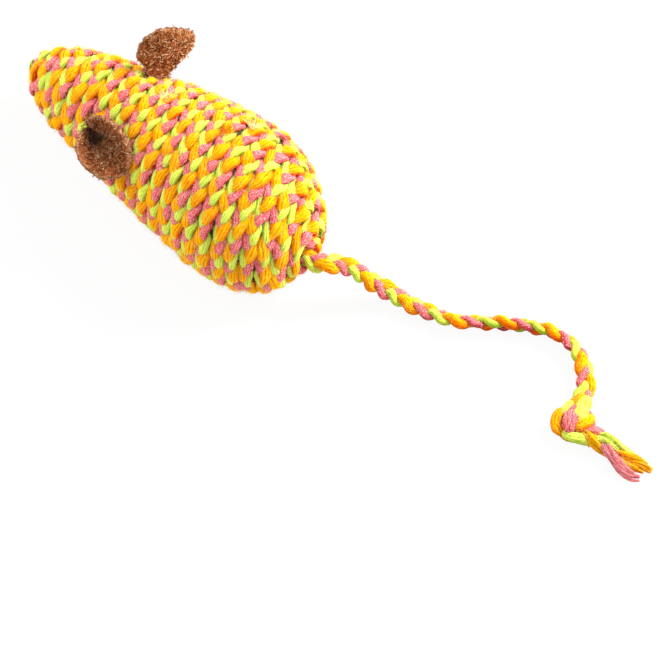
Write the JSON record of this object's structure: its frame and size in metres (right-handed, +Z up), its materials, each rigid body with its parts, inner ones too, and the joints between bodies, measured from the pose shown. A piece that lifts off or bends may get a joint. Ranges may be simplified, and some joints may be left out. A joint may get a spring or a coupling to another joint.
{
  "type": "catnip mouse",
  "caption": "Cat toy in the shape of a mouse: a firm body wound with a coloured plait, felt ears that bend, and a limp plaited tail with a knot and loose ends.",
  "frame": {"origin": "on the floor under the middle of the body's length, on the flat belly of the winding", "axes": "+X from the nose to the tail, +Y to the mouse's right side, +Z up"},
  "size_m": [0.1897, 0.0531, 0.036],
  "materials": {
    "plait": "plaited yarn in orange, lime and pink",
    "orange": "loose yarn",
    "pink": "loose heathered yarn",
    "lime": "loose yarn",
    "felt": "mottled wool felt",
    "foam": "light moulded filling",
    "muslin": "plain weave",
    "catnip": "dried leaf",
    "thread": "sewing thread"
  },
  "bodies": {
    "body": {"body_winding": "plait", "core_left": "foam", "core_right": "foam", "catnip_pouch": "muslin", "catnip_filling": "catnip", "pouch_tie": "thread", "tail_anchor": "plait"},
    "ear_left": {"ear_left": "felt"},
    "ear_right": {"ear_right": "felt"},
    "tail": {"tail_plait": "plait", "tail_knot": "plait", "tail_end_orange": "orange", "tail_end_pink": "pink", "tail_end_lime": "lime"}
  },
  "joints": [
    {"name": "ear_left_flex", "type": "hinge", "parent": "body", "child": "ear_left", "pos_m": [-0.0164, -0.01258, 0.02499], "axis": [0.0059, -0.6436, -0.7653], "range_deg": [0, 45], "stiffness_Nm_per_rad": 0.0005},
    {"name": "ear_right_flex", "type": "hinge", "parent": "body", "child": "ear_right", "pos_m": [-0.01489, 0.0128, 0.0253], "axis": [-0.6735, -0.5657, 0.4758], "range_deg": [-50, 20], "stiffness_Nm_per_rad": 0.0005},
    {"name": "tail_swing", "type": "hinge", "parent": "body", "child": "tail", "pos_m": [0.04695, 0, 0.01403], "axis": [0, 0, 1], "range_deg": [-110, 35]}
  ]
}
